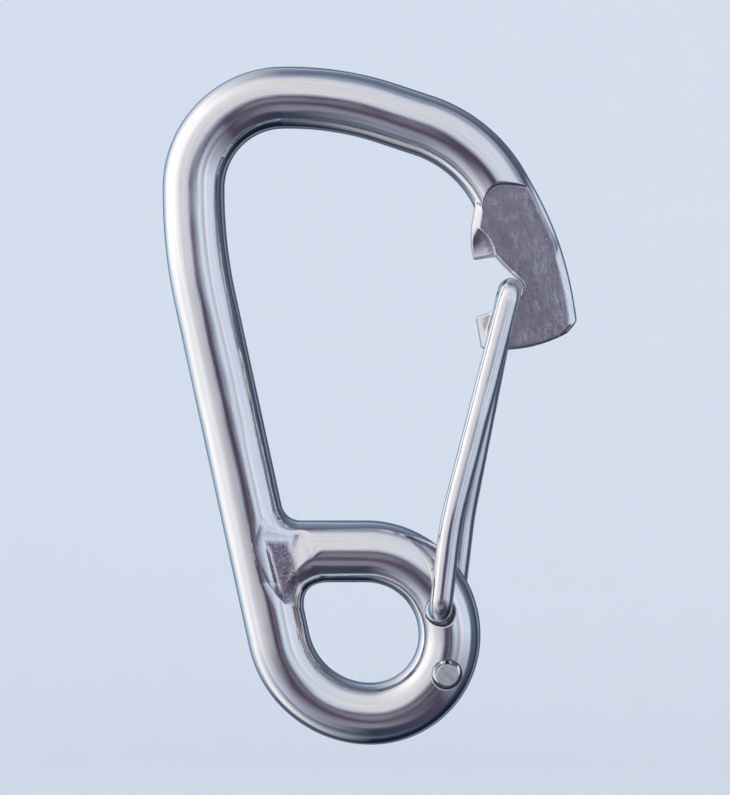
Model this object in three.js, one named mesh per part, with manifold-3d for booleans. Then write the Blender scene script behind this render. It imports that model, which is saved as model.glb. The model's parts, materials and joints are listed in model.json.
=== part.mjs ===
// Snap hook of bent stainless bar with a welded eye, a milled nose and a sprung wire gate.
// Millimetres, +Z up. The origin is the centre of the eye, on the mid-plane of the bar.
// X runs from the spine to the gate, Y runs through the hook from its front to its back.
import * as THREE from "three";
import { mergeVertices } from "three/addons/utils/BufferGeometryUtils.js";
import Module from "manifold-3d";

const wasm = await Module();
wasm.setup();

// ---- Driving dimensions ----

const BAR_DIAMETER = 11;
const WIRE_DIAMETER = 4;
const NOSE_THICKNESS = 6.6;
const HOLE_DIAMETER = 5.1; // both pivot holes, drilled right through the eye
const COUNTERSINK = 0.6; // depth and width of the 45 degree countersink where the wire goes in
const GAP = 0.3; // between pieces that touch or run on each other
const SHAPE_SIDES = { bar: 24, wire: 12, hole: 32, weld: 32 };

// Centreline of the bar in the plane Y = 0: corners [x, z], each with the radius of its bend.
const BAR_CORNERS = [
  { at: [29.6, 67.3] }, // inside the nose
  { at: [20.6, 86.6], bend: 24 }, // bow down to the nose
  { at: [-4.1, 94.8], bend: 55 }, // crown of the bow
  { at: [-30, 94.8], bend: 16 }, // shoulder of the bow
  { at: [-30, 68.5], bend: 90 }, // spine leans in towards the eye
  { at: [-12, -14.5], bend: 16.6 }, // under the eye
  { at: [15.4, -14.5], bend: 13.9 },
  { at: [15.4, 14.3], bend: 14.8 }, // over the eye
  { at: [-9.2, 14.3] }, // end of the bar, welded to the spine
];
const BAR_STEP = 3;
const WELD_FLARE = 3; // radius of the fillet where the weld meets the spine

// Pivots and crossbar of the gate, as [x, z].
const FRONT_HOLE = [13.6, 4];
const REAR_HOLE = [14.8, -7.2];
const CROSSBAR = [26.1, 60.7];
// The rear tail rests a little off its hole's centre, so that its small wander as the gate
// swings stays inside the hole.
const REAR_TAIL = [REAR_HOLE[0] + 0.1, REAR_HOLE[1] - 0.05];

const LEG_OFFSET = BAR_DIAMETER / 2 + WIRE_DIAMETER / 2 + 0.4; // leg's centre beside the eye
const LEG_OFFSET_AT_NOSE = NOSE_THICKNESS / 2 + WIRE_DIAMETER / 2 + 0.5;
const WIRE_BEND = 2.5;
const LEG_KNEE_BEND = 60;
const FRONT_KNEE = [15.4, 19.5];
const REAR_KNEE = [18.2, 20.5];
const TAIL_LENGTH = BAR_DIAMETER / 2 - 0.1; // how far the tail reaches past the mid-plane
const WIRE_STEP = 1.5;

// Nose: its outline as [x, z], and the shapes that cut it.
const NOSE_EDGE_ROUND = 2; // how far the edge's rounding reaches in from the outline
const NOSE_SEAT_GAP = 0.35; // between the crossbar and the back of its notch
const TOOTH_TIP = [19.7, 66];
const LIP_TIP = [20.1, 55.9];

const STEEL = { color: 0xc4c2c6, roughness: 0.18, metalness: 1 };
const MILLED_STEEL = { color: 0x8f8c92, roughness: 0.45, metalness: 1 };

// ---- Geometry helpers ----

const vector = ([x, z], y = 0) => new THREE.Vector3(x, y, z);

// A circular bend round `centre`, from the radius vector `start` through `angle` towards `side`.
class Bend extends THREE.Curve {
  constructor(centre, start, side, angle) {
    super();
    Object.assign(this, { centre, start, side, angle });
  }

  getPoint(t, target = new THREE.Vector3()) {
    const turned = t * this.angle;
    return target
      .copy(this.centre)
      .addScaledVector(this.start, Math.cos(turned))
      .addScaledVector(this.side, Math.sin(turned));
  }
}

// A route of straight stretches joined by round bends, as a bar is bent on a former.
function bentRoute(corners) {
  const route = new THREE.CurvePath();
  let last = corners[0].point;
  for (let i = 1; i < corners.length - 1; i += 1) {
    const { point, bend } = corners[i];
    const along = point.clone().sub(corners[i - 1].point).normalize();
    const onward = corners[i + 1].point.clone().sub(point).normalize();
    const angle = along.angleTo(onward);
    const setback = bend * Math.tan(angle / 2);
    const bendStart = point.clone().addScaledVector(along, -setback);
    const inward = onward.clone().addScaledVector(along, -onward.dot(along)).normalize();
    const centre = bendStart.clone().addScaledVector(inward, bend);
    const start = inward.clone().multiplyScalar(-bend);
    route.add(new THREE.LineCurve3(last, bendStart));
    route.add(new Bend(centre, start, along.clone().multiplyScalar(bend), angle));
    last = point.clone().addScaledVector(onward, setback);
  }
  route.add(new THREE.LineCurve3(last, corners.at(-1).point));
  return route;
}

function circle(radius, sides) {
  const corners = Array.from({ length: sides }, (_, i) => {
    const angle = (2 * Math.PI * i) / sides;
    return new THREE.Vector2(radius * Math.cos(angle), radius * Math.sin(angle));
  });
  return new THREE.Shape(corners);
}

function roundBar(route, diameter, sides, stepLength) {
  return new THREE.ExtrudeGeometry(circle(diameter / 2, sides), {
    extrudePath: route,
    steps: Math.round(route.getLength() / stepLength),
  });
}

// A plate with the outline `shape`, drawn in X and Z, between the planes y0 and y1.
function plate(shape, y0, y1, edgeRound = 0, edgeDepth = 0) {
  const geometry = new THREE.ExtrudeGeometry(shape, {
    depth: y1 - y0 - 2 * edgeDepth,
    bevelEnabled: edgeRound > 0,
    bevelThickness: edgeDepth,
    bevelSize: edgeRound,
    bevelOffset: -edgeRound,
    bevelSegments: 4,
    curveSegments: 8,
  });
  return geometry.rotateX(Math.PI / 2).translate(0, y1 - edgeDepth, 0);
}

// A round body about an axis along Y through [x, z], with the given [radius, y] profile.
function turnedAlongY([x, z], profile, sides) {
  const points = profile.map(([radius, y]) => new THREE.Vector2(radius, y));
  return new THREE.LatheGeometry(points, sides).translate(x, 0, z);
}

function solid(geometry) {
  const bare = geometry.clone();
  bare.deleteAttribute("normal");
  bare.deleteAttribute("uv");
  const merged = mergeVertices(bare, 1e-4);
  return new wasm.Manifold(
    new wasm.Mesh({
      numProp: 3,
      vertProperties: merged.attributes.position.array,
      triVerts: new Uint32Array(merged.index.array),
    }),
  );
}

function geometryOf(manifold) {
  const { vertProperties, triVerts } = manifold.getMesh();
  const geometry = new THREE.BufferGeometry();
  geometry.setAttribute("position", new THREE.BufferAttribute(vertProperties, 3));
  geometry.setIndex(new THREE.BufferAttribute(triVerts, 1));
  const faceted = geometry.toNonIndexed();
  faceted.computeVertexNormals();
  return faceted;
}

// ---- Hook body: bent bar, nose and pivot holes ----

const barRadius = BAR_DIAMETER / 2;
const wireRadius = WIRE_DIAMETER / 2;

const barCorners = BAR_CORNERS.map(({ at, bend }) => ({ point: vector(at), bend }));
const barRoute = bentRoute(barCorners);

function noseOutline() {
  const outline = new THREE.Shape();
  outline.moveTo(24, 84);
  outline.lineTo(27.6, 83.2);
  outline.bezierCurveTo(33.2, 75.6, 36.6, 66, 37.9, 55);
  outline.lineTo(37.4, 46);
  outline.lineTo(21.8, 46);
  outline.lineTo(...LIP_TIP);
  outline.lineTo(...TOOTH_TIP);
  outline.bezierCurveTo(18.6, 71, 19.8, 74, 19.8, 77.5);
  return outline;
}

// Everything below the nose's square-cut end, which bows out a little in the middle.
function belowNose() {
  const cut = new THREE.Shape();
  cut.moveTo(40, 56);
  cut.lineTo(37.9, 55);
  cut.lineTo(36.2, 53);
  cut.bezierCurveTo(32.5, 50.9, 27, 49.4, 21.2, 50.3);
  cut.lineTo(17, 50.6);
  cut.lineTo(17, 42);
  cut.lineTo(40, 42);
  return cut;
}

// The notch opens between tooth and lip, and its round back seats the crossbar.
function notch() {
  const seat = wireRadius + NOSE_SEAT_GAP;
  const cut = new THREE.Shape();
  cut.moveTo(15, 55.5);
  cut.lineTo(...LIP_TIP);
  cut.lineTo(22.4, 56.6);
  cut.absarc(...CROSSBAR, seat, -2.1, 0.9, false);
  cut.lineTo(24.9, 65.1);
  cut.lineTo(23.6, 66.6);
  cut.lineTo(...TOOTH_TIP);
  cut.lineTo(15, 66.6);
  return cut;
}

// The flats take off everything beyond half the nose's thickness below a rounded shoulder.
function flatOutline() {
  const cut = new THREE.Shape();
  cut.moveTo(12, 74);
  cut.bezierCurveTo(19, 79.5, 23.5, 79.6, 27, 79.2);
  cut.bezierCurveTo(31, 78.6, 34, 76, 44, 74);
  cut.lineTo(44, 40);
  cut.lineTo(12, 40);
  return cut;
}

// A hole right through the eye, countersunk at the `side` where the wire goes in: -1 for the front.
function pivotHole(at, side) {
  const hole = HOLE_DIAMETER / 2;
  const face = barRadius + 1;
  const throat = barRadius - COUNTERSINK;
  const mouth = hole + face - throat;
  const ends = [[mouth, -face], [hole, -throat], [hole, face]];
  const wall = side < 0 ? ends : ends.map(([radius, y]) => [radius, -y]).reverse();
  return solid(turnedAlongY(at, [[0, -face], ...wall, [0, face]], SHAPE_SIDES.hole));
}

function hookBody() {
  const half = NOSE_THICKNESS / 2;
  const bar = solid(roundBar(barRoute, BAR_DIAMETER, SHAPE_SIDES.bar, BAR_STEP));
  const nosePlate = plate(noseOutline(), -half, half, NOSE_EDGE_ROUND, half * 0.8);
  let body = bar.add(solid(nosePlate));
  for (const [near, far] of [[half, 2 * barRadius], [-2 * barRadius, -half]]) {
    body = body.subtract(solid(plate(flatOutline(), near, far)));
  }
  for (const cut of [notch(), belowNose()]) {
    body = body.subtract(solid(plate(cut, -BAR_DIAMETER, BAR_DIAMETER)));
  }
  body = body.subtract(pivotHole(FRONT_HOLE, -1));
  body = body.subtract(pivotHole(REAR_HOLE, 1));
  return geometryOf(body);
}

// ---- Weld that closes the eye ----

// A bead turned about the axis of the bar's end. It flares out to meet the spine, is sheared to
// the spine's slope, ground flat at the front and back, and ends just short of the bar.
function eyeWeld() {
  const end = barCorners.at(-1).point;
  const [top, bottom] = [barCorners[4].point, barCorners[5].point];
  const slope = (top.x - bottom.x) / (top.z - bottom.z);
  const spineX = bottom.x + slope * (end.z - bottom.z);

  const profile = [[0, 0], [barRadius + WELD_FLARE, 0]];
  for (let i = 0; i <= 6; i += 1) {
    const angle = (Math.PI / 2) * (i / 6);
    const radius = barRadius + WELD_FLARE * (1 - Math.sin(angle));
    profile.push([radius, barRadius + WELD_FLARE * (1 - Math.cos(angle))]);
  }
  profile.push([barRadius, BAR_DIAMETER], [0, BAR_DIAMETER]);
  const points = profile.map(([radius, x]) => new THREE.Vector2(radius, x));
  const bead = new THREE.LatheGeometry(points, SHAPE_SIDES.weld).rotateZ(-Math.PI / 2);
  bead.applyMatrix4(new THREE.Matrix4().makeShear(0, 0, 0, 0, slope, 0));
  bead.translate(spineX, 0, end.z);

  const thickness = 2 * (barRadius - 0.1);
  const slab = new THREE.BoxGeometry(BAR_DIAMETER, thickness, 3 * BAR_DIAMETER);
  slab.translate(end.x - GAP - BAR_DIAMETER / 2, 0, end.z);
  const clearance = roundBar(
    new THREE.LineCurve3(top, bottom),
    BAR_DIAMETER + 2 * GAP,
    SHAPE_SIDES.bar,
    BAR_DIAMETER,
  );
  return geometryOf(solid(bead).intersect(solid(slab)).subtract(solid(clearance)));
}

// ---- Wire gate ----

// Half of the gate: tail in its hole, leg beside the hook, and its half of the crossbar.
// `side` is -1 for the front half and 1 for the rear half.
function gateHalf(side, tail, knee) {
  const corners = [
    { point: vector(tail, -side * TAIL_LENGTH) },
    { point: vector(tail, side * LEG_OFFSET), bend: WIRE_BEND },
    { point: vector(knee, side * LEG_OFFSET), bend: LEG_KNEE_BEND },
    { point: vector(CROSSBAR, side * LEG_OFFSET_AT_NOSE), bend: WIRE_BEND },
    { point: vector(CROSSBAR, (side * GAP) / 2) },
  ];
  return roundBar(bentRoute(corners), WIRE_DIAMETER, SHAPE_SIDES.wire, WIRE_STEP);
}

// ---- Assembly ----

function piece(name, geometry, look) {
  const mesh = new THREE.Mesh(geometry, new THREE.MeshStandardMaterial(look));
  mesh.name = name;
  return mesh;
}

const snapHook = new THREE.Group();
snapHook.add(
  piece("hook_body", hookBody(), STEEL),
  piece("eye_weld", eyeWeld(), MILLED_STEEL),
  piece("gate_wire_front", gateHalf(-1, FRONT_HOLE, FRONT_KNEE), STEEL),
  piece("gate_wire_rear", gateHalf(1, REAR_TAIL, REAR_KNEE), STEEL),
);

export default snapHook;
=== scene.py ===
"""Snap hook of bent, polished stainless bar with a milled nose, a welded eye and a wire gate.

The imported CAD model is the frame: its boxes and joints say where everything is. The steel is
modelled as fields, which are negative inside the metal, and each field is meshed and its
vertices are settled on its surface. The gate's two halves are swept wires.
Shapes are worked out in millimetres, in the frame's axes, and meshes are made in metres.
"""

import itertools
import json
import math

import bmesh
import bpy
import numpy as np
from mathutils import Matrix, Vector


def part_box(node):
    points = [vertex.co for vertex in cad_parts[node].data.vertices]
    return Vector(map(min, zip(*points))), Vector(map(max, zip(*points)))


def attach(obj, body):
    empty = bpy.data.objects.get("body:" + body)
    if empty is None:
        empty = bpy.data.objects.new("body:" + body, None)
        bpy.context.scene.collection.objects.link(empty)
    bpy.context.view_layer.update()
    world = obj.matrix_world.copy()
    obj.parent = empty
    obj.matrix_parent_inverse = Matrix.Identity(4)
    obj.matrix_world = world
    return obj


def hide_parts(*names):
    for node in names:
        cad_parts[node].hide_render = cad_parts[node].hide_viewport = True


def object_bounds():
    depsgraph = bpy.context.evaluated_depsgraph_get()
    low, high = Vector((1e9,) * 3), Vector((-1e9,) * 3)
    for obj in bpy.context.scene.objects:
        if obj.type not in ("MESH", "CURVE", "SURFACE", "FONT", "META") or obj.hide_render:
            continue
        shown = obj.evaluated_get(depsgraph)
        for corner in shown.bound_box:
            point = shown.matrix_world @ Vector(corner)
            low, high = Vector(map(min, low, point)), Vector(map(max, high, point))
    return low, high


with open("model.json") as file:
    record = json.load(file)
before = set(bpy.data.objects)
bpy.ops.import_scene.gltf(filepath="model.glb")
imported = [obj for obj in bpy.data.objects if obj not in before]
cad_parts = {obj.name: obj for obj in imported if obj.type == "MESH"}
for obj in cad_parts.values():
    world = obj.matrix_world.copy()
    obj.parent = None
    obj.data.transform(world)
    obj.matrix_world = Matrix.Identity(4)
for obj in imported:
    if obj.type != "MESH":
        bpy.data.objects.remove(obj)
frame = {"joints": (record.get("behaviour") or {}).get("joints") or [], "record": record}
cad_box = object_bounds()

MM = 0.001
FAR = 99.0  # a distance that no part of the object reaches

# ---- Driving dimensions, in millimetres ----

joints = {joint["name"]: joint for joint in frame["joints"]}
mounts = {mount["name"]: mount for mount in frame["record"]["mounts"]}


def joint_centre(name):
    """[x, z] of a hinge that turns about Y."""
    x, _, z = joints[name]["pos_m"]
    return np.array([x, z]) / MM


BAR_RADIUS = (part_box("hook_body")[1].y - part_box("hook_body")[0].y) / 2 / MM
WIRE_RADIUS = 2.0
FRONT_HOLE = joint_centre("gate_pivot")
CROSSBAR = joint_centre("crossbar_twist")
REAR_HOLE = np.array([14.8, -7.2])
REAR_TAIL = REAR_HOLE + (0.1, -0.05)  # the tail has play in its hole

# Centreline of the bar in the plane Y = 0: corners [x, z], each with the radius of its bend.
# It starts inside the nose and ends inside the spine, where it is welded.
BAR_CORNERS = [
    (29.6, 67.3, 0),
    (20.6, 86.6, 24),
    (-4.1, 94.8, 55),
    (-30, 94.8, 16),
    (-30, 68.5, 90),
    (-12, -14.5, 16.6),
    (15.4, -14.5, 13.9),
    (15.4, 14.3, 14.8),
    (-18.2, 14.3, 0),
]
SPINE = BAR_CORNERS[4][:2], BAR_CORNERS[5][:2]
BAR_END = BAR_CORNERS[-2][:2], BAR_CORNERS[-1][:2]

# The holes through the eye, for the gate's tails.
HOLE_RADIUS = 2.55
HOLE_EDGE = 0.15
COUNTERSINK = 0.4
COUNTERSINK_EDGE = 0.1

# The nose: a plate with sloping rims, cut by its milled flats, its facets and its notch.
NOSE_HALF = mounts["nose_flat_back"]["pos_m"][1] / MM
NOSE_AREA = (8, 44), (50, 110)
NOSE_PLATE_EXTRA = 0.5
NOSE_BLEND = 0.35
RIM_WIDTH = 1.45
RIM_SLOPE = math.radians(31)
RIM_ROUND = 0.45
TOOTH_TIP = (19.7, 66.0)
LIP_TIP = (20.1, 55.9)
SEAT_RADIUS = WIRE_RADIUS + 0.35
SHOULDER_SLOPE = math.radians(4)
MILLED_EDGE = 0.12
BROKEN_EDGE = 0.5
FACET_SLOPE = math.radians(15)
FACET_STEP = 0.22
FACET_EDGE = 0.15
TOOTH_FACET = (17.0, 66.0)
TOOTH_FACET_RADIUS = 6.5
LIP_FACET_X = 22.6
LIP_FACET_LEAN = 0.3
CORNER_FACET = (36.6, 55.0)
CORNER_FACET_WAY = (0.72, -0.69)
CORNER_FACET_INSET = 0.4
CORNER_FACET_STEEPNESS = 1.6

# The weld: fillets beside the bar's end, cut by the faces that grinding left.
WELD_AREA = (-20, 0), (-4, 22)
WELD_CENTRE = (-13.5, 14.3)
WELD_REACH = 10.5
WELD_UPPER_BLEND = 3.2
WELD_LOWER_BLEND = 5.6
WELD_BLEND_CHANGE = 8
WELD_BLEND_AT_CREST = 0.4
WELD_BLEND_GROWTH = 4
WELD_LEAST_BLEND = 0.02
WELD_HALF = BAR_RADIUS + 0.02
WELD_DIP = 0.035
WELD_PAST_CREST = 1.0
WELD_FACE_FALL = 0.21
WELD_FACE_ENDS = (9.0, 14.9)  # past these heights the face runs out
WELD_FACE_RUNOUTS = (0.10, 0.012)  # steadily at its lower end, as a square at its upper end
WELD_FACE_UNDER = 0.05
BAR_FACE_START = (-8.3, 14.3)
BAR_FACE_RISE = (0.31, -0.18)
GROUND_EDGE = 0.3
GROUND_CREASE = 0.5
GROUND_STEEPNESS = 0.93  # turns a height over the sloping faces into a distance from them
SCORE = (-16.4, 14.4), (-14.6, 7.8)
SCORE_WIDTH = 0.28
SCORE_HEIGHT = 0.16

# The gate: its legs stand clear of the eye and of the nose, and its tails are bent inwards.
LEG_OFFSET = BAR_RADIUS + WIRE_RADIUS + 0.4
LEG_OFFSET_AT_NOSE = NOSE_HALF + WIRE_RADIUS + 0.5
WIRE_BEND = 2.5
WIRE_END_ROUND = 0.2
KNEE_BEND = 60
FRONT_KNEE = (15.4, 19.5)
REAR_KNEE = (18.2, 20.5)
TAIL_LENGTH = BAR_RADIUS - 0.1

# How fine the meshes are: cells in millimetres, and turns of the surface in degrees.
MESH_MARGIN = 1.3
HOOK_CELL = 0.55
HOOK_TURNS = (14, 12)
WELD_CELL = 0.4
WELD_TURNS = (12,)
WIRE_SIDES = 48
WIRE_END_STEPS = 6
WIRE_BEND_STEP = 0.25
WIRE_STRAIGHT_STEP = 1.0

# ---- Outlines in the plane Y = 0 ----


def bezier(a, b, c, d, count=14):
    """Points on a cubic curve, without its first."""
    t = np.linspace(0, 1, count + 1)[1:, None]
    a, b, c, d = (np.array(p, float) for p in (a, b, c, d))
    return a * (1 - t) ** 3 + 3 * b * t * (1 - t) ** 2 + 3 * c * t**2 * (1 - t) + d * t**3


def arc(centre, radius, start, end, count=20):
    """Points on a circle from one angle to another, in radians."""
    angles = np.linspace(start, end, count + 1)
    return np.array(centre) + radius * np.stack([np.cos(angles), np.sin(angles)], 1)


def outline(*stretches):
    """A closed outline from points and runs of points."""
    return np.concatenate([np.atleast_2d(np.array(s, float)) for s in stretches])


NOSE = outline(
    (24, 84),
    (26.4, 83.6),
    (28.1, 82.3),
    bezier((29.2, 80.7), (33.6, 73.4), (36.6, 65.6), (37.9, 55), 24),
    (37.4, 46),
    (21.8, 46),
    LIP_TIP,
    TOOTH_TIP,
    bezier(TOOTH_TIP, (18.6, 71), (19.6, 73), (19.9, 76)),
    (20.7, 79),
    (22.2, 82),
)

# Everything below the nose's end, which bows out a little in the middle.
BELOW_NOSE = outline(
    (42, 57),
    (37.9, 55),
    (36.2, 53),
    bezier((36.2, 53), (32.5, 50.9), (27, 49.4), (21.2, 50.3)),
    (17, 50.6),
    (12, 40),
    (42, 40),
)

# The notch opens between tooth and lip, and its round back seats the crossbar.
NOTCH = outline(
    (12, 54.3),
    LIP_TIP,
    (22.4, 56.6),
    arc(CROSSBAR, SEAT_RADIUS, -2.1, 0.9),
    (24.9, 65.1),
    (23.6, 66.6),
    TOOTH_TIP,
    (12, 66.6),
)

# The flats lie below a rounded shoulder.
FLATS = outline(
    (14, 70),
    (19.6, 71),
    bezier((19.6, 71), (21.2, 75.2), (21.4, 79.3), (24.6, 79.3)),
    bezier((24.6, 79.3), (28, 79.3), (31, 79), (46, 72)),
    (46, 38),
    (14, 38),
)

# The rough facet that grinding left where the bar's end meets the spine.
GROUND_FACET = outline(
    (-16.7, 16.3),
    (-13.4, 16.1),
    (-12.0, 12.6),
    (-11.4, 9.4),
    (-12.6, 5.6),
    (-14.6, 4.0),
    (-15.0, 7.6),
)

# ---- Fields ----


def join(a, b, blend):
    """Union of two fields, with a fillet that starts where they differ by `blend`."""
    overlap = np.clip(blend - np.abs(a - b), 0, None) / blend
    return np.minimum(a, b) - overlap**2 * blend / 4


def trim(a, b, blend):
    """What lies in both fields, with its edge rounded."""
    return -join(-a, -b, blend)


def outline_distance(points, x, z):
    """Distance from a closed outline, negative inside it."""
    nearest = np.inf
    inside = False
    for (ax, az), (bx, bz) in zip(points, np.roll(points, -1, axis=0)):
        ex, ez = bx - ax, bz - az
        length2 = ex * ex + ez * ez
        if length2 == 0:
            continue
        t = np.clip(((x - ax) * ex + (z - az) * ez) / length2, 0, 1)
        nearest = np.minimum(nearest, np.hypot(x - ax - t * ex, z - az - t * ez))
        if ez != 0:
            crosses = ((az > z) != (bz > z)) & (x < ex * (z - az) / ez + ax)
            inside = inside ^ crosses
    return np.where(inside, -nearest, nearest)


def bent_route(corners):
    """The straight stretches and round bends of a route: (start, end, centre, turn), in order.

    centre is None on a straight stretch. turn is the bend's signed angle.
    """
    points = [np.array(c[:-1], float) for c in corners]
    stretches = []
    last = points[0]
    for before, point, after, corner in zip(points, points[1:], points[2:], corners[1:]):
        along = (point - before) / np.linalg.norm(point - before)
        onward = (after - point) / np.linalg.norm(after - point)
        turn = math.acos(np.clip(along @ onward, -1, 1))
        setback = corner[-1] * math.tan(turn / 2)
        start, end = point - along * setback, point + onward * setback
        inward = onward - along * (onward @ along)
        centre = start + inward / np.linalg.norm(inward) * corner[-1]
        stretches += [(last, start, None, 0), (start, end, centre, turn)]
        last = end
    return [*stretches, (last, points[-1], None, 0)]


def straightened(route, x, z):
    """(distance from the centreline, length along it, signed offset from it) in the plane."""
    nearest, along, side = np.inf, 0.0, 0.0
    travelled = 0.0
    for start, end, centre, turn in route:
        if centre is None:
            length = np.linalg.norm(end - start)
            forward = (end - start) / length
            s = np.clip((x - start[0]) * forward[0] + (z - start[1]) * forward[1], 0, length)
            foot_x, foot_z = start[0] + forward[0] * s, start[1] + forward[1] * s
            offset = forward[0] * (z - foot_z) - forward[1] * (x - foot_x)
        else:
            radius = np.linalg.norm(start - centre)
            spoke, last = start - centre, end - centre
            hand = np.sign(spoke[0] * last[1] - spoke[1] * last[0])
            cross = hand * (spoke[0] * (z - centre[1]) - spoke[1] * (x - centre[0]))
            dot = spoke[0] * (x - centre[0]) + spoke[1] * (z - centre[1])
            angle = np.clip(np.arctan2(cross, dot), 0, turn)
            length, s = radius * turn, radius * angle
            c, d = np.cos(angle), hand * np.sin(angle)
            foot_x = centre[0] + c * spoke[0] - d * spoke[1]
            foot_z = centre[1] + d * spoke[0] + c * spoke[1]
            offset = hand * (radius - np.hypot(x - centre[0], z - centre[1]))
        distance = np.hypot(x - foot_x, z - foot_z)
        closer = distance < nearest
        nearest = np.where(closer, distance, nearest)
        along = np.where(closer, travelled + s, along)
        side = np.where(closer, offset, side)
        travelled += length
    return nearest, along, side


bar_route = bent_route(BAR_CORNERS)


def within(area, x, z):
    """Whether points lie in a rectangle of the plane, given by two opposite corners."""
    (left, bottom), (right, top) = area
    return (x > left) & (x < right) & (z > bottom) & (z < top)


def nose_plate(x, y, z):
    """The flattened end, a little thicker than its milled flats, with sloping, rounded rims."""
    edge = outline_distance(NOSE, x, z)
    height = np.abs(y) - NOSE_HALF
    rim = (edge + RIM_WIDTH) * math.sin(RIM_SLOPE) + height * math.cos(RIM_SLOPE)
    return np.maximum(trim(edge, rim, RIM_ROUND), height - NOSE_PLATE_EXTRA)


def nose_flats(x, y, z):
    """What the milled flats leave: their shoulder rises away from them at a slope."""
    shoulder = outline_distance(FLATS, x, z)
    height = np.abs(y) - NOSE_HALF
    ramp = height * math.sin(SHOULDER_SLOPE) - shoulder * math.cos(SHOULDER_SLOPE)
    return join(height, ramp, NOSE_BLEND)


def nose_facets(x, y, z):
    """Sloping facets on the tooth, the lip and the lower corner, deeper towards their tips."""
    tooth = TOOTH_FACET_RADIUS - np.hypot(x - TOOTH_FACET[0], z - TOOTH_FACET[1])
    tooth = np.where(z > CROSSBAR[1], tooth, -FAR)
    lip = LIP_FACET_X + LIP_FACET_LEAN * (z - LIP_TIP[1]) - x
    lip = np.where(z < CROSSBAR[1], lip, -FAR)
    (corner_x, corner_z), (way_x, way_z) = CORNER_FACET, CORNER_FACET_WAY
    corner = way_x * (x - corner_x) + way_z * (z - corner_z) - CORNER_FACET_INSET
    height = np.abs(y) - NOSE_HALF + FACET_STEP
    drop = np.maximum(np.maximum(tooth, lip), CORNER_FACET_STEEPNESS * corner)
    facet = height * math.cos(FACET_SLOPE) + drop * math.sin(FACET_SLOPE)
    return join(facet, drop, FACET_EDGE)


def pivot_hole(centre, side, x, y, z):
    """A hole right through the eye, countersunk where the wire goes in: side -1 is the front."""
    radius = np.hypot(x - centre[0], z - centre[1])
    bore = radius - HOLE_RADIUS
    cone = (bore - (side * y - BAR_RADIUS + COUNTERSINK)) * math.sqrt(0.5)
    return join(bore, cone, COUNTERSINK_EDGE)


def hook_field(x, y, z):
    """The bent bar with its nose, its two holes and what grinding took off it at the weld."""
    across, _, _ = straightened(bar_route, x, z)
    body = np.hypot(across, y) - BAR_RADIUS
    near_nose = within(NOSE_AREA, x, z)
    if np.any(near_nose):
        nose = join(body, nose_plate(x, y, z), NOSE_BLEND)
        nose = trim(nose, nose_flats(x, y, z), MILLED_EDGE)
        nose = trim(nose, nose_facets(x, y, z), MILLED_EDGE)
        nose = trim(nose, -outline_distance(NOTCH, x, z), BROKEN_EDGE)
        nose = trim(nose, -outline_distance(BELOW_NOSE, x, z), BROKEN_EDGE)
        body = np.where(near_nose, nose, body)
    near_weld = within(WELD_AREA, x, z)
    if np.any(near_weld):
        ground = trim(body, ground_faces(x, y, z) + WELD_FACE_UNDER, GROUND_EDGE)
        body = np.where(near_weld, ground, body)
    for centre, side in ((FRONT_HOLE, -1), (REAR_HOLE, 1)):
        body = trim(body, -pivot_hole(centre, side, x, y, z), HOLE_EDGE)
    return body


def along_and_off(ends, x, z):
    """(length along, signed offset to the left of) the line through two points, in the plane."""
    (ax, az), (bx, bz) = ends
    length = math.hypot(bx - ax, bz - az)
    ux, uz = (bx - ax) / length, (bz - az) / length
    return ux * (x - ax) + uz * (z - az), ux * (z - az) - uz * (x - ax)


def score(x, z):
    """A raised line that grinding left on the weld, from 0 beside it to 1 on its crest."""
    along, off = along_and_off(SCORE, x, z)
    past_end = np.maximum(-along, along - math.dist(*SCORE))
    return np.exp(-((off / SCORE_WIDTH) ** 2)) * np.clip(1 - past_end, 0, 1)


def ground_faces(x, y, z):
    """What grinding left of the weld, at the front and back: two faces that meet in a crease.

    One falls away from the spine's crest. The other rises from it to the crest of the eye's bar.
    """
    _, off_spine = along_and_off(SPINE, x, z)
    low, high = WELD_FACE_ENDS
    below, above = WELD_FACE_RUNOUTS
    runout = below * np.maximum(low - z, 0) + above * np.maximum(z - high, 0) ** 2
    weld_face = runout - WELD_FACE_FALL * off_spine + SCORE_HEIGHT * score(x, z)
    (start_x, start_z), (rise_x, rise_z) = BAR_FACE_START, BAR_FACE_RISE
    bar_face = rise_x * (x - start_x) + rise_z * (z - start_z)
    height = BAR_RADIUS + trim(weld_face, bar_face, GROUND_CREASE)
    return (np.abs(y) - height) * GROUND_STEEPNESS


def weld_field(x, y, z):
    """The metal that fills the corners between the bar's end and the spine, ground flat."""
    _, off_spine = along_and_off(SPINE, x, z)
    spine = np.hypot(off_spine, y) - BAR_RADIUS
    _, off_end = along_and_off(BAR_END, x, z)
    end = np.hypot(off_end, y) - BAR_RADIUS
    share = np.clip(0.5 + (z - BAR_END[0][1]) / WELD_BLEND_CHANGE, 0, 1)
    blend = WELD_LOWER_BLEND + (WELD_UPPER_BLEND - WELD_LOWER_BLEND) * share
    past_crest = WELD_BLEND_AT_CREST + off_spine / WELD_BLEND_GROWTH
    bead = join(spine, end, blend * np.clip(past_crest, WELD_LEAST_BLEND, 1)) + WELD_DIP
    bead = trim(bead, np.abs(y) - WELD_HALF, GROUND_EDGE)
    bead = trim(bead, ground_faces(x, y, z), GROUND_EDGE)
    bead = np.maximum(bead, -off_spine - WELD_PAST_CREST)
    reach = np.sqrt((x - WELD_CENTRE[0]) ** 2 + y**2 + (z - WELD_CENTRE[1]) ** 2) - WELD_REACH
    return np.maximum(bead, reach)


# ---- Meshing ----

TETRAHEDRON = np.array([(1, -1, -1), (-1, -1, 1), (-1, 1, -1), (1, 1, 1)], float)
LEAST_STEEPNESS = 0.25
LONGEST_MOVE = 0.3


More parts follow.
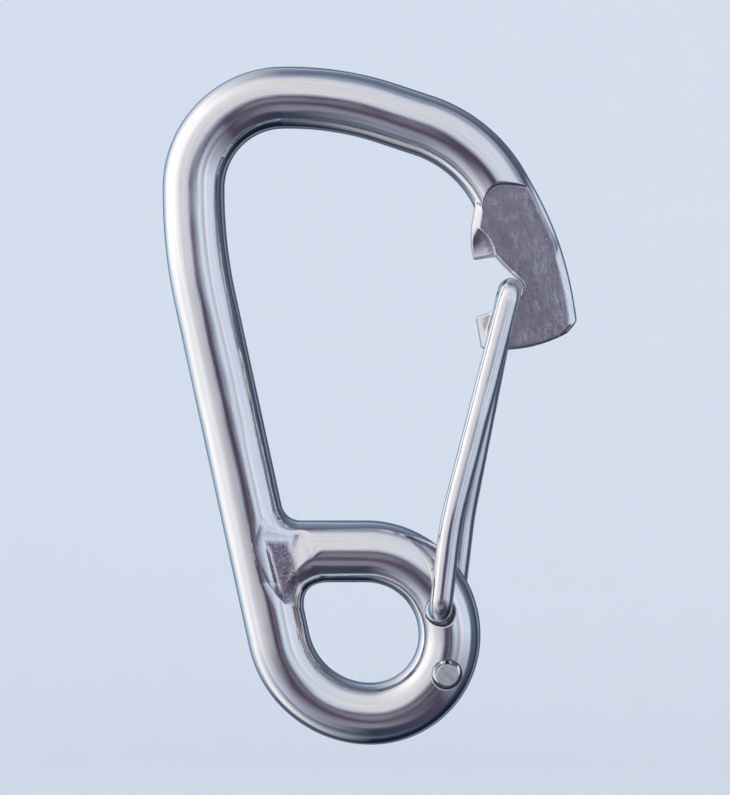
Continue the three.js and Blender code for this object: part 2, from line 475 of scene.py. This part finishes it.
def at(field, points):
    """The field's values at some points."""
    return field(points[:, 0], points[:, 1], points[:, 2])


def slope(field, points, reach=0.04):
    """The field's gradient at some points."""
    total = sum(k * at(field, points + k * reach)[:, None] for k in TETRAHEDRON)
    return total / (4 * reach)


def settled(field, points, rounds=3):
    """The points moved along the field's gradient to its surface."""
    for _ in range(rounds):
        gradient = slope(field, points)
        steep = np.sum(gradient**2, axis=1, keepdims=True)
        move = gradient * (at(field, points)[:, None] / np.maximum(steep, LEAST_STEEPNESS))
        points = points - np.clip(move, -LONGEST_MOVE, LONGEST_MOVE)
    return points


def surface_net(field, low, high, step):
    """Vertices and quads round a field's surface, one vertex in each cell that it crosses."""
    axes = [np.arange(a, b + step, step) for a, b in zip(low, high)]
    values = field(*np.meshgrid(*axes, indexing="ij", sparse=True))
    inside = values < 0
    corners = list(itertools.product((0, 1), repeat=3))
    cell_shape = np.array(values.shape) - 1

    def corner_of_cells(array, corner):
        return array[tuple(slice(o, o + n) for o, n in zip(corner, cell_shape))]

    count = sum(corner_of_cells(inside, c).astype(int) for c in corners)
    cells = np.argwhere((count > 0) & (count < 8))
    number = np.full(cell_shape, -1)
    number[tuple(cells.T)] = np.arange(len(cells))

    total = np.zeros((len(cells), 3))
    hits = np.zeros((len(cells), 1))
    for a, b in itertools.combinations(corners, 2):
        if sum(abs(i - j) for i, j in zip(a, b)) != 1:
            continue
        at_a = values[tuple((cells + a).T)]
        at_b = values[tuple((cells + b).T)]
        crossed = (at_a < 0) != (at_b < 0)
        share = at_a[crossed] / (at_a[crossed] - at_b[crossed])
        total[crossed] += np.array(a) + share[:, None] * (np.array(b) - np.array(a))
        hits[crossed] += 1
    vertices = np.array(low) + step * (cells + total / hits)

    quads = []
    for axis in range(3):
        ahead = np.zeros(3, int)
        ahead[axis] = 1
        u, v = np.roll(ahead, 1), np.roll(ahead, 2)
        first = inside[tuple(slice(0, n - a) for n, a in zip(values.shape, ahead))]
        second = inside[tuple(slice(a, n) for n, a in zip(values.shape, ahead))]
        edges = np.argwhere(first != second)
        leaving = first[tuple(edges.T)]
        ring = [number[tuple((edges - back).T)] for back in (0 * u, u, u + v, v)]
        quad = np.stack(ring, 1)
        quad[~leaving] = quad[~leaving][:, ::-1]
        quads.append(quad)
    return vertices, np.concatenate(quads)


def split_where_turning(mesh, normals, turn):
    """Splits the faces across which the surface turns by more than `turn` degrees."""
    limit = math.cos(math.radians(turn))
    work = bmesh.new()
    work.from_mesh(mesh)
    facing = [Vector(n) for n in normals]
    edges = set()
    for face in work.faces:
        around = [facing[v.index] for v in face.verts]
        if any(a.dot(b) < limit for a, b in itertools.combinations(around, 2)):
            edges.update(face.edges)
    bmesh.ops.subdivide_edges(work, edges=list(edges), cuts=1, use_grid_fill=True)
    work.to_mesh(mesh)
    work.free()


def coordinates(mesh):
    """The places of a mesh's vertices, one row each."""
    values = np.empty(len(mesh.vertices) * 3)
    mesh.vertices.foreach_get("co", values)
    return values.reshape(-1, 3)


def field_mesh(name, field, low, high, step, turns=()):
    """A mesh of a field's surface, in millimetres, and its vertex normals.

    Each of `turns` is a round of splitting where the surface turns by more degrees than that.
    """
    vertices, quads = surface_net(field, low, high, step)
    mesh = bpy.data.meshes.new(name)
    mesh.from_pydata(settled(field, vertices, 4).tolist(), [], quads.tolist())
    for turn in turns:
        split_where_turning(mesh, slope(field, coordinates(mesh)), turn)
        mesh.vertices.foreach_set("co", settled(field, coordinates(mesh)).ravel())
    normals = slope(field, coordinates(mesh), 0.08)
    normals /= np.linalg.norm(normals, axis=1, keepdims=True)
    return mesh, normals


def set_attribute(mesh, name, values):
    """Keeps a number or a vector for each vertex, for the material to read."""
    kind = "FLOAT" if values.ndim == 1 else "FLOAT_VECTOR"
    attribute = mesh.attributes.new(name, kind, "POINT")
    key = "value" if values.ndim == 1 else "vector"
    attribute.data.foreach_set(key, values.astype(np.float32).ravel())


def piece(mesh, normals, material, body, slot, *nodes):
    """An object from a mesh in millimetres, standing for CAD nodes and riding on their body."""
    mesh.transform(Matrix.Scale(MM, 4))
    mesh.shade_smooth()
    mesh.normals_split_custom_set_from_vertices(normals.tolist())
    mesh.materials.append(material)
    made = bpy.data.objects.new(mesh.name, mesh)
    bpy.context.scene.collection.objects.link(made)
    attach(made, body)
    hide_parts(*nodes)
    return made


# ---- Wire of the gate ----


def route_points(route, step, straight_step):
    """Points along a route in space, closer together in its bends."""
    points = [route[0][0]]
    for start, end, centre, turn in route:
        if centre is None:
            count = max(1, round(np.linalg.norm(end - start) / straight_step))
            points += [start + (end - start) * i / count for i in range(1, count + 1)]
            continue
        spoke, last = start - centre, end - centre
        radius = np.linalg.norm(spoke)
        ahead = last - spoke * (last @ spoke) / radius**2
        ahead *= radius / np.linalg.norm(ahead)
        count = max(2, round(radius * turn / step))
        for i in range(1, count + 1):
            angle = turn * i / count
            points.append(centre + spoke * math.cos(angle) + ahead * math.sin(angle))
    return np.array(points)


def swept_wire(name, points, radius, sides, end_round):
    """A round wire along points, with a flat, round-edged end at its first point."""
    forward = np.gradient(points, axis=0)
    forward /= np.linalg.norm(forward, axis=1, keepdims=True)
    side = np.cross(forward[0], (1, 0, 0))
    side = side / np.linalg.norm(side)
    lengths = np.concatenate([[0], np.cumsum(np.linalg.norm(np.diff(points, axis=0), axis=1))])
    rings, normals, travelled = [], [], []

    def ring(centre, ahead, side, ring_radius, tilt, length):
        other = np.cross(ahead, side)
        for i in range(sides):
            angle = 2 * math.pi * i / sides
            spoke = side * math.cos(angle) + other * math.sin(angle)
            rings.append(centre + spoke * ring_radius)
            normals.append(spoke * math.cos(tilt) - ahead * math.sin(tilt))
            travelled.append((length, radius * math.cos(angle), radius * math.sin(angle)))

    start, ahead = points[0], forward[0]
    ring(start, ahead, side, radius / 2, math.pi / 2, 0)
    for i in range(WIRE_END_STEPS + 1):
        tilt = math.pi / 2 * (1 - i / WIRE_END_STEPS)
        inset = end_round * (1 - math.cos(tilt))
        ring(start + ahead * end_round * (1 - math.sin(tilt)), ahead, side, radius - inset, tilt, 0)
    for point, ahead, length in zip(points[1:], forward[1:], lengths[1:]):
        side = side - ahead * (side @ ahead)
        side /= np.linalg.norm(side)
        ring(point, ahead, side, radius, 0, length)

    count = len(rings) // sides
    faces = []
    for ring_start in range(0, (count - 1) * sides, sides):
        for i in range(sides):
            a, b = ring_start + i, ring_start + (i + 1) % sides
            faces.append((a, b, b + sides, a + sides))
    faces.append(tuple(reversed(range(sides))))
    faces.append(tuple((count - 1) * sides + i for i in range(sides)))
    mesh = bpy.data.meshes.new(name)
    mesh.from_pydata([list(p) for p in rings], [], faces)
    set_attribute(mesh, "straightened", np.array(travelled))
    on_end = np.arange(len(rings)) < 3 * sides  # the first three rings
    set_attribute(mesh, "cut_end", on_end.astype(float))
    return mesh, np.array(normals)


def gate_half(name, side, tail, knee):
    """Tail in its hole, leg beside the hook, and half of the crossbar: side -1 is the front."""
    corners = [
        (tail[0], -side * TAIL_LENGTH, tail[1], 0),
        (tail[0], side * LEG_OFFSET, tail[1], WIRE_BEND),
        (knee[0], side * LEG_OFFSET, knee[1], KNEE_BEND),
        (CROSSBAR[0], side * LEG_OFFSET_AT_NOSE, CROSSBAR[1], WIRE_BEND),
        (CROSSBAR[0], 0, CROSSBAR[1], 0),
    ]
    points = route_points(bent_route(corners), WIRE_BEND_STEP, WIRE_STRAIGHT_STEP)
    return swept_wire(name, points, WIRE_RADIUS, WIRE_SIDES, WIRE_END_ROUND)


# ---- Materials ----


class Nodes:
    """A short way to write a node tree."""

    def __init__(self, tree):
        self.tree = tree

    def add(self, kind, inputs=(), **settings):
        node = self.tree.nodes.new(kind)
        for key, value in settings.items():
            setattr(node, key, value)
        for key, value in dict(inputs).items():
            if isinstance(value, bpy.types.NodeSocket):
                self.tree.links.new(value, node.inputs[key])
            else:
                node.inputs[key].default_value = value
        return node

    def attribute(self, name, vector=False):
        node = self.add("ShaderNodeAttribute", attribute_name=name)
        return node.outputs["Vector" if vector else "Fac"]

    def scaled(self, vector, scale):
        return self.add("ShaderNodeMapping", {"Vector": vector, "Scale": scale}).outputs[0]

    def noise(self, vector, scale, detail=2.0, roughness=0.5):
        inputs = {"Vector": vector, "Scale": scale, "Detail": detail, "Roughness": roughness}
        return self.add("ShaderNodeTexNoise", inputs).outputs["Fac"]

    def ranged(self, value, low, high, to_low, to_high):
        inputs = {0: value, 1: low, 2: high, 3: to_low, 4: to_high}
        return self.add("ShaderNodeMapRange", inputs).outputs[0]

    def math(self, operation, a, b=0.0):
        return self.add("ShaderNodeMath", {0: a, 1: b}, operation=operation).outputs[0]

    def mix(self, share, a, b):
        inputs = {0: share, 2: a, 3: b}
        return self.add("ShaderNodeMix", inputs, data_type="FLOAT").outputs[0]

    def mix_colour(self, share, a, b):
        inputs = {0: share, 6: a, 7: b}
        return self.add("ShaderNodeMix", inputs, data_type="RGBA").outputs[2]

    def bump(self, height, distance, normal=None):
        inputs = {"Height": height, "Distance": distance, "Strength": 1.0}
        if normal is not None:
            inputs["Normal"] = normal
        return self.add("ShaderNodeBump", inputs).outputs[0]


def new_material(name):
    """(material, its node tree's short form, its shader) of a new metal."""
    material = bpy.data.materials.new(name)
    material.use_nodes = True
    nodes = Nodes(material.node_tree)
    shader = material.node_tree.nodes["Principled BSDF"]
    shader.inputs["Metallic"].default_value = 1.0
    return material, nodes, shader


def connect(nodes, shader, **sockets):
    """Links values to the shader's sockets, with _ for the spaces in their names."""
    for name, value in sockets.items():
        nodes.tree.links.new(value, shader.inputs[name.replace("_", " ")])


# Colours of the steel, and a painted shade for the inside of its holes.
BRIGHT = (0.83, 0.82, 0.82, 1)
SMOKED = (0.72, 0.70, 0.72, 1)
MILLED = (0.40, 0.375, 0.43, 1)
BURNT = (0.25, 0.21, 0.265, 1)
# Painted shade: near black on the hole walls, standing in for the shade inside the holes.
HOLE_SHADE = (0.10, 0.10, 0.115, 1)


def polish(nodes, vector):
    """(colour, roughness, normal) of drawn bar, polished lengthwise.

    vector is the place on the straightened bar in millimetres, with its length first.
    """
    streaks = nodes.noise(nodes.scaled(vector, (0.05, 1.6, 1.6)), 1.0, 4.0, 0.6)
    waves = nodes.noise(nodes.scaled(vector, (0.09, 0.24, 0.24)), 1.0, 1.0, 0.35)
    hairs = nodes.noise(nodes.scaled(vector, (0.30, 8.0, 8.0)), 1.0, 3.0, 0.6)
    specks = nodes.noise(nodes.scaled(vector, (1.4, 3.2, 3.2)), 1.0, 3.0, 0.7)
    colour = nodes.mix_colour(nodes.ranged(streaks, 0.35, 0.75, 0, 1), BRIGHT, SMOKED)
    roughness = nodes.math(
        "ADD",
        nodes.ranged(streaks, 0.3, 0.75, 0.035, 0.085),
        nodes.ranged(specks, 0.58, 0.8, 0.0, 0.10),
    )
    normal = nodes.bump(waves, 0.00018)
    normal = nodes.bump(specks, 0.000007, normal)
    normal = nodes.bump(hairs, 0.000006, normal)
    return colour, roughness, normal


def polished_bar():
    """Polished bar, with milled flats that show their cutter's marks, and holes whose walls are
    rougher where drilled and coloured near black as painted shade.
    """
    material, nodes, shader = new_material("polished_bar")
    straight = nodes.attribute("straightened", True)
    place = nodes.add("ShaderNodeTexCoord").outputs["Object"]
    colour, roughness, normal = polish(nodes, straight)
    milled = nodes.attribute("milled")

    scars = nodes.noise(nodes.scaled(place, (1100, 900, 380)), 1.0, 3.0, 0.65)
    clouds = nodes.noise(place, 420, 3.0, 0.6)
    grain = nodes.noise(place, 4200, 2.0)
    worn = nodes.ranged(nodes.math("ADD", scars, clouds), 0.95, 1.45, 0, 1)
    colour = nodes.mix_colour(milled, colour, nodes.mix_colour(worn, MILLED, SMOKED))
    roughness = nodes.mix(milled, roughness, nodes.ranged(clouds, 0.3, 0.7, 0.36, 0.24))
    right = nodes.add("ShaderNodeSeparateXYZ", {0: place}).outputs["X"]
    chatter = nodes.math("MULTIPLY", scars, nodes.ranged(right, 0.026, 0.031, 0.5, 1.6))
    normal = nodes.bump(nodes.math("MULTIPLY", milled, chatter), 0.00008, normal)
    normal = nodes.bump(nodes.math("MULTIPLY", milled, grain), 0.00002, normal)

    # Painted shade: the hole walls are coloured near black for the shade in the holes; their
    # roughness is the drilled finish.
    drilled_and_shaded = nodes.attribute("drilled_and_shaded")
    colour = nodes.mix_colour(drilled_and_shaded, colour, HOLE_SHADE)
    roughness = nodes.mix(drilled_and_shaded, roughness, nodes.ranged(grain, 0.3, 0.7, 0.25, 0.4))
    connect(nodes, shader, Base_Color=colour, Roughness=roughness, Normal=normal)
    return material


def gate_wire():
    """Polished wire whose cut ends are dull."""
    material, nodes, shader = new_material("gate_wire")
    colour, roughness, normal = polish(nodes, nodes.attribute("straightened", True))
    end = nodes.attribute("cut_end")
    place = nodes.add("ShaderNodeTexCoord").outputs["Object"]
    grain = nodes.noise(place, 2500, 3.0)
    roughness = nodes.mix(end, roughness, nodes.ranged(grain, 0.3, 0.7, 0.42, 0.55))
    normal = nodes.bump(nodes.math("MULTIPLY", end, grain), 0.00004, normal)
    connect(nodes, shader, Base_Color=colour, Roughness=roughness, Normal=normal)
    return material


def ground_weld():
    """A polished weld with a rough, discoloured facet."""
    material, nodes, shader = new_material("ground_weld")
    colour, roughness, normal = polish(nodes, nodes.attribute("straightened", True))
    place = nodes.add("ShaderNodeTexCoord").outputs["Object"]
    face = nodes.attribute("ground")
    blotches = nodes.noise(place, 700, 4.0, 0.65)
    grain = nodes.noise(place, 2600, 3.0, 0.6)
    burnt = nodes.mix_colour(nodes.ranged(grain, 0.5, 0.75, 0, 1), BURNT, SMOKED)
    colour = nodes.mix_colour(face, colour, burnt)
    rough = nodes.ranged(blotches, 0.35, 0.65, 0.2, 0.34)
    roughness = nodes.mix(face, roughness, rough)
    normal = nodes.bump(nodes.math("MULTIPLY", face, blotches), 0.00012, normal)
    normal = nodes.bump(nodes.math("MULTIPLY", face, grain), 0.00004, normal)
    connect(nodes, shader, Base_Color=colour, Roughness=roughness, Normal=normal)
    return material


# ---- Pieces of the object ----


def hook_bar():
    """The hook, with its milled surfaces and its hole walls marked for the material; the hole walls
    get painted shade.
    """
    margin = Vector((MESH_MARGIN, MESH_MARGIN, MESH_MARGIN))
    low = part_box("hook_body")[0] / MM - margin
    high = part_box("hook_body")[1] / MM + margin
    mesh, normals = field_mesh("hook_bar", hook_field, low, high, HOOK_CELL, HOOK_TURNS)
    x, y, z = coordinates(mesh).T
    _, along, offset = straightened(bar_route, x, z)
    set_attribute(mesh, "straightened", np.stack([along, offset, y], 1))
    facing = np.interp(np.abs(normals[:, 1]), (0.9083, 0.9917), (0, 1))
    below_shoulder = np.clip(0.5 - outline_distance(FLATS, x, z), 0, 1)
    at_flats = np.abs(np.abs(y) - NOSE_HALF) < 0.5
    set_attribute(mesh, "milled", facing * below_shoulder * at_flats)
    from_hole = [np.hypot(x - hole[0], z - hole[1]) for hole in (FRONT_HOLE, REAR_HOLE)]
    beyond_wall = np.minimum(*from_hole) - HOLE_RADIUS
    # The hole walls, marked for painted shade in the holes and for the rougher drilled finish.
    set_attribute(mesh, "drilled_and_shaded", np.clip(1.2 - beyond_wall / HOLE_EDGE, 0, 1))
    return piece(mesh, normals, polished_bar(), "hook", "polished_bar", "hook_body")


def weld_bead():
    """The weld, with its rough facet marked for the material."""
    middle = Vector((WELD_CENTRE[0], 0, WELD_CENTRE[1]))
    reach = Vector((WELD_REACH + 1, BAR_RADIUS + 1, WELD_REACH + 1))
    low, high = middle - reach, middle + reach
    mesh, normals = field_mesh("weld_bead", weld_field, low, high, WELD_CELL, WELD_TURNS)
    x, y, z = coordinates(mesh).T
    along, offset = along_and_off(SPINE, x, z)
    set_attribute(mesh, "straightened", np.stack([along, offset, y], 1))
    rough = np.clip(0.5 - outline_distance(GROUND_FACET, x, z), 0, 1)
    set_attribute(mesh, "ground", rough * (1 - score(x, z)))
    return piece(mesh, normals, ground_weld(), "hook", "ground_weld", "eye_weld")


def gate():
    """The two halves of the wire, which meet in the middle of its crossbar."""
    material = gate_wire()
    front = gate_half("gate_front_wire", -1, FRONT_HOLE, FRONT_KNEE)
    rear = gate_half("gate_rear_wire", 1, REAR_TAIL, REAR_KNEE)
    piece(*front, material, "gate_front", "gate_wire", "gate_wire_front")
    piece(*rear, material, "gate_rear", "gate_wire", "gate_wire_rear")


hook_bar()
weld_bead()
gate()

# ---- Stage, light and camera ----

centre = (cad_box[0] + cad_box[1]) / 2


def lathe(name, profile, sides=96):
    """A surface turned about the vertical through the object's centre."""
    mesh = bpy.data.meshes.new(name)
    points = []
    for radius, height in profile:
        for i in range(sides):
            angle = 2 * math.pi * i / sides
            points.append((radius * math.cos(angle), radius * math.sin(angle), height))
    faces = [tuple(range(sides))]
    for ring_start in range(0, (len(profile) - 1) * sides, sides):
        for i in range(sides):
            a, b = ring_start + i, ring_start + (i + 1) % sides
            faces.append((a, a + sides, b + sides, b))
    mesh.from_pydata(points, [], faces)
    mesh.shade_smooth()
    made = bpy.data.objects.new(name, mesh)
    bpy.context.scene.collection.objects.link(made)
    return made


def stage():
    """A round pale floor that curves up into a wall, far from the object on every side."""
    floor_z = cad_box[0].z - 0.10
    wall_radius, wall_height, cove, steps = 1.5, 2.2, 0.6, 12
    profile = [(0.2, floor_z)]
    for i in range(steps + 1):
        angle = math.pi / 2 * i / steps
        radius = wall_radius - cove + cove * math.sin(angle)
        profile.append((radius, floor_z + cove * (1 - math.cos(angle))))
    profile.append((wall_radius, floor_z + wall_height))
    floor = lathe("studio_floor", profile)
    floor.location = (centre.x, centre.y, 0)
    material, nodes, shader = new_material("pale_floor")
    shader.inputs["Metallic"].default_value = 0.0
    shader.inputs["Roughness"].default_value = 0.9
    texture = nodes.noise(nodes.add("ShaderNodeTexCoord").outputs["Object"], 3.0)
    colour = nodes.mix_colour(texture, (0.80, 0.83, 0.87, 1), (0.83, 0.86, 0.90, 1))
    connect(nodes, shader, Base_Color=colour)
    floor.data.materials.append(material)
    floor.visible_glossy = False


def soft_light(name, place, size, power):
    """A rectangular softbox aimed at the object. It lights the stage; the steel mirrors the room."""
    light = bpy.data.lights.new(name, "AREA")
    light.shape = "RECTANGLE"
    light.size, light.size_y = size
    light.energy = power
    made = bpy.data.objects.new(name, light)
    bpy.context.scene.collection.objects.link(made)
    made.location = place
    towards = centre - Vector(place)
    made.rotation_euler = towards.to_track_quat("-Z", "Y").to_euler()
    made.visible_camera = False
    made.visible_glossy = False


# Tints in the room that the polished steel mirrors.
NIGHT = (0.008, 0.016, 0.036)
INK = (0.036, 0.050, 0.082)
PLUM = (0.080, 0.068, 0.108)
TEAL = (0.095, 0.132, 0.200)
SMOKE = (0.150, 0.140, 0.190)
MAUVE = (0.265, 0.248, 0.315)
BLUE = (0.180, 0.260, 0.380)
SLATE = (0.370, 0.410, 0.520)
HAZE = (0.600, 0.650, 0.790)
SKY = (0.690, 0.790, 0.960)
LIGHT = (0.760, 0.770, 0.810)
ICE = (0.640, 0.900, 1.120)
CLEAR = (0.960, 0.970, 1.010)
WHITE = (1.210, 1.220, 1.225)

# The room as the object sees it. For each direction round the viewer's line of sight, in degrees
# from the right towards the top: tints by the angle in degrees away from the viewer.
MIRRORED = {
    0: [
        (0, SMOKE), (8, SMOKE), (13, SLATE), (18, SKY), (28, SKY), (34, SLATE), (39, HAZE),
        (46, CLEAR), (53, SKY), (81, SKY), (87, TEAL), (112, TEAL), (117, INK), (128, INK),
        (133, SLATE), (142, TEAL), (156, INK), (168, TEAL), (180, SLATE),
    ],
    45: [
        (0, SMOKE), (4, SLATE), (11, HAZE), (22, SKY), (36, LIGHT), (62, SKY), (76, HAZE),
        (82, SLATE), (94, SLATE), (104, PLUM), (115, TEAL), (160, TEAL), (180, SLATE),
    ],
    90: [
        (0, SMOKE), (4, MAUVE), (9, HAZE), (16, LIGHT), (66, LIGHT), (74, HAZE), (80, SLATE),
        (90, BLUE), (100, SMOKE), (112, BLUE), (124, BLUE), (131, HAZE), (138, BLUE), (160, TEAL),
        (180, SLATE),
    ],
    135: [
        (0, SMOKE), (4, MAUVE), (10, SLATE), (17, LIGHT), (36, LIGHT), (56, CLEAR), (66, WHITE),
        (104, WHITE), (118, CLEAR), (130, SKY), (155, BLUE), (180, SLATE),
    ],
    180: [
        (0, SMOKE), (4, PLUM), (13, PLUM), (17, MAUVE), (23, HAZE), (36, LIGHT), (48, LIGHT),
        (62, CLEAR), (74, WHITE), (118, WHITE), (132, ICE), (155, BLUE), (168, INK), (180, SLATE),
    ],
    225: [
        (0, SMOKE), (4, PLUM), (26, PLUM), (36, SMOKE), (44, MAUVE), (52, SLATE), (70, HAZE),
        (78, MAUVE), (90, SLATE), (100, CLEAR), (112, CLEAR), (124, TEAL), (152, TEAL),
        (180, SLATE),
    ],
    270: [
        (0, SMOKE), (5, MAUVE), (15, MAUVE), (20, SMOKE), (26, PLUM), (31, SMOKE), (38, MAUVE),
        (50, MAUVE), (56, PLUM), (62, INK), (84, INK), (92, TEAL), (100, TEAL), (108, NIGHT),
        (138, NIGHT), (144, MAUVE), (150, TEAL), (164, INK), (180, SLATE),
    ],
    315: [
        (0, SMOKE), (6, PLUM), (20, PLUM), (28, SMOKE), (34, PLUM), (84, PLUM), (93, INK),
        (104, NIGHT), (134, NIGHT), (141, SLATE), (148, TEAL), (162, INK), (180, SLATE),
    ],
}
SECTOR = math.radians(45)
ROOM_STRENGTH = 1.06


def surroundings():
    """Builds the room: each direction's ramp counts by how near it is, up to one sector away."""
    world = bpy.data.worlds.new("studio")
    bpy.context.scene.world = world
    world.use_nodes = True
    nodes = Nodes(world.node_tree)
    direction = nodes.add("ShaderNodeTexCoord").outputs["Generated"]
    x, y, z = nodes.add("ShaderNodeSeparateXYZ", {0: direction}).outputs
    away = nodes.math("ARCCOSINE", nodes.math("MULTIPLY", y, -1.0))
    across = nodes.add("ShaderNodeCombineXYZ", {0: x, 2: z}).outputs[0]
    across = nodes.add("ShaderNodeVectorMath", {0: across}, operation="NORMALIZE").outputs[0]
    total = (0, 0, 0)
    for turn, stops in MIRRORED.items():
        ramp = nodes.add("ShaderNodeValToRGB", {0: nodes.ranged(away, 0, math.pi, 0, 1)})
        elements = ramp.color_ramp.elements
        while len(elements) < len(stops):
            elements.new(0.5)
        for element, (angle, tint) in zip(elements, stops):
            element.position = angle / 180
            element.color = (*tint, 1)
        middle = (math.cos(math.radians(turn)), 0, math.sin(math.radians(turn)))
        dot = nodes.add("ShaderNodeVectorMath", {0: across, 1: middle}, operation="DOT_PRODUCT")
        apart = nodes.math("ARCCOSINE", dot.outputs["Value"])
        weight = nodes.ranged(apart, 0, SECTOR, 1, 0)
        share = nodes.add(
            "ShaderNodeVectorMath",
            {0: ramp.outputs[0], "Scale": weight},
            operation="SCALE",
        ).outputs[0]
        total = nodes.add("ShaderNodeVectorMath", {0: total, 1: share}).outputs[0]
    background = world.node_tree.nodes["Background"]
    background.inputs["Strength"].default_value = ROOM_STRENGTH
    world.node_tree.links.new(total, background.inputs["Color"])


def lights():
    """Three softboxes for the stage."""
    soft_light("key_left", centre + Vector((-0.75, -0.30, 0.45)), (0.9, 0.9), 7)
    soft_light("top", centre + Vector((0.15, -0.15, 1.50)), (1.1, 1.1), 3)
    soft_light("fill_right", centre + Vector((0.8, -0.6, 0.35)), (0.9, 0.9), 2.5)


def camera():
    """Straight in front of the object, a little off its centre."""
    data = bpy.data.cameras.new("camera")
    made = bpy.data.objects.new("camera", data)
    bpy.context.scene.collection.objects.link(made)
    distance = 0.6
    frame_height = 0.1411
    right, up = -0.0008, 0.00143
    data.lens = data.sensor_width * distance / frame_height
    data.clip_start, data.clip_end = 0.01, 20
    made.location = (centre.x + right, -distance, centre.z + up)
    made.rotation_euler = (math.pi / 2, 0, 0)
    bpy.context.scene.camera = made


stage()
surroundings()
lights()
camera()
bpy.context.scene.view_settings.view_transform = "Standard"
